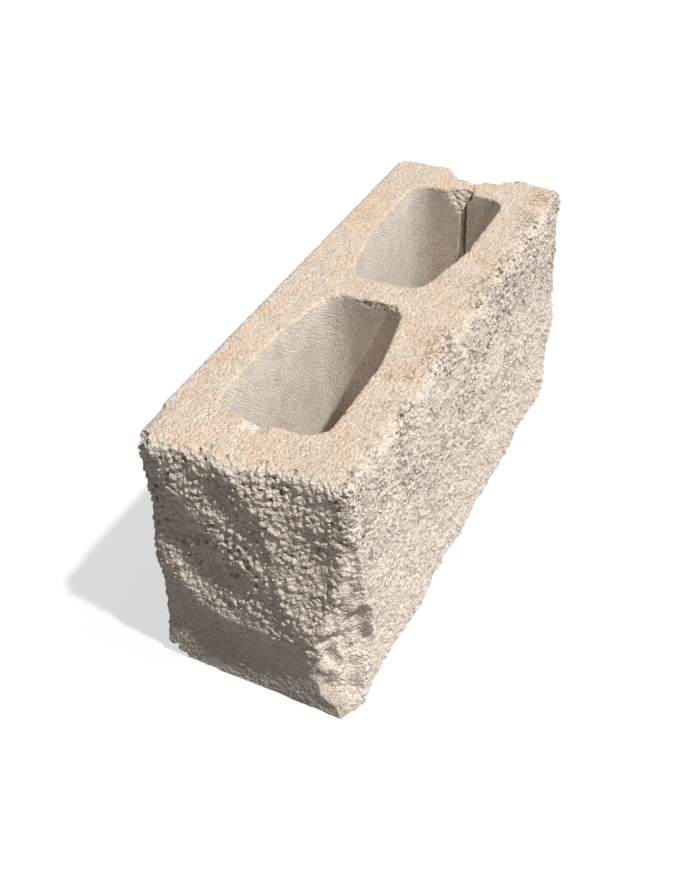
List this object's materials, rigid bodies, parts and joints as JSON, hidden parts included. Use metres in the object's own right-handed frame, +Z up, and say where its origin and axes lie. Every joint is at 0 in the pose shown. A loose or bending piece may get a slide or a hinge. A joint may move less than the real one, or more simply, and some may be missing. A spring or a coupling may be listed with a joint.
{
  "type": "split-face hollow concrete block",
  "caption": "Hollow cast concrete block with tapered cores, rough split faces and a keyed groove down the plain end, laid in mortar as the corner unit of a wall.",
  "frame": {"origin": "middle of the bottom face, where the block stands", "axes": "+X along the block's length from the split end to the grooved end, +Y from the split long face to the plain long face, +Z up, towards the narrower core mouths"},
  "size_m": [0.3969, 0.143, 0.194],
  "materials": {
    "concrete": "rough, unpainted, sandy beige"
  },
  "bodies": {
    "root": {"block": "concrete"}
  },
  "joints": []
}
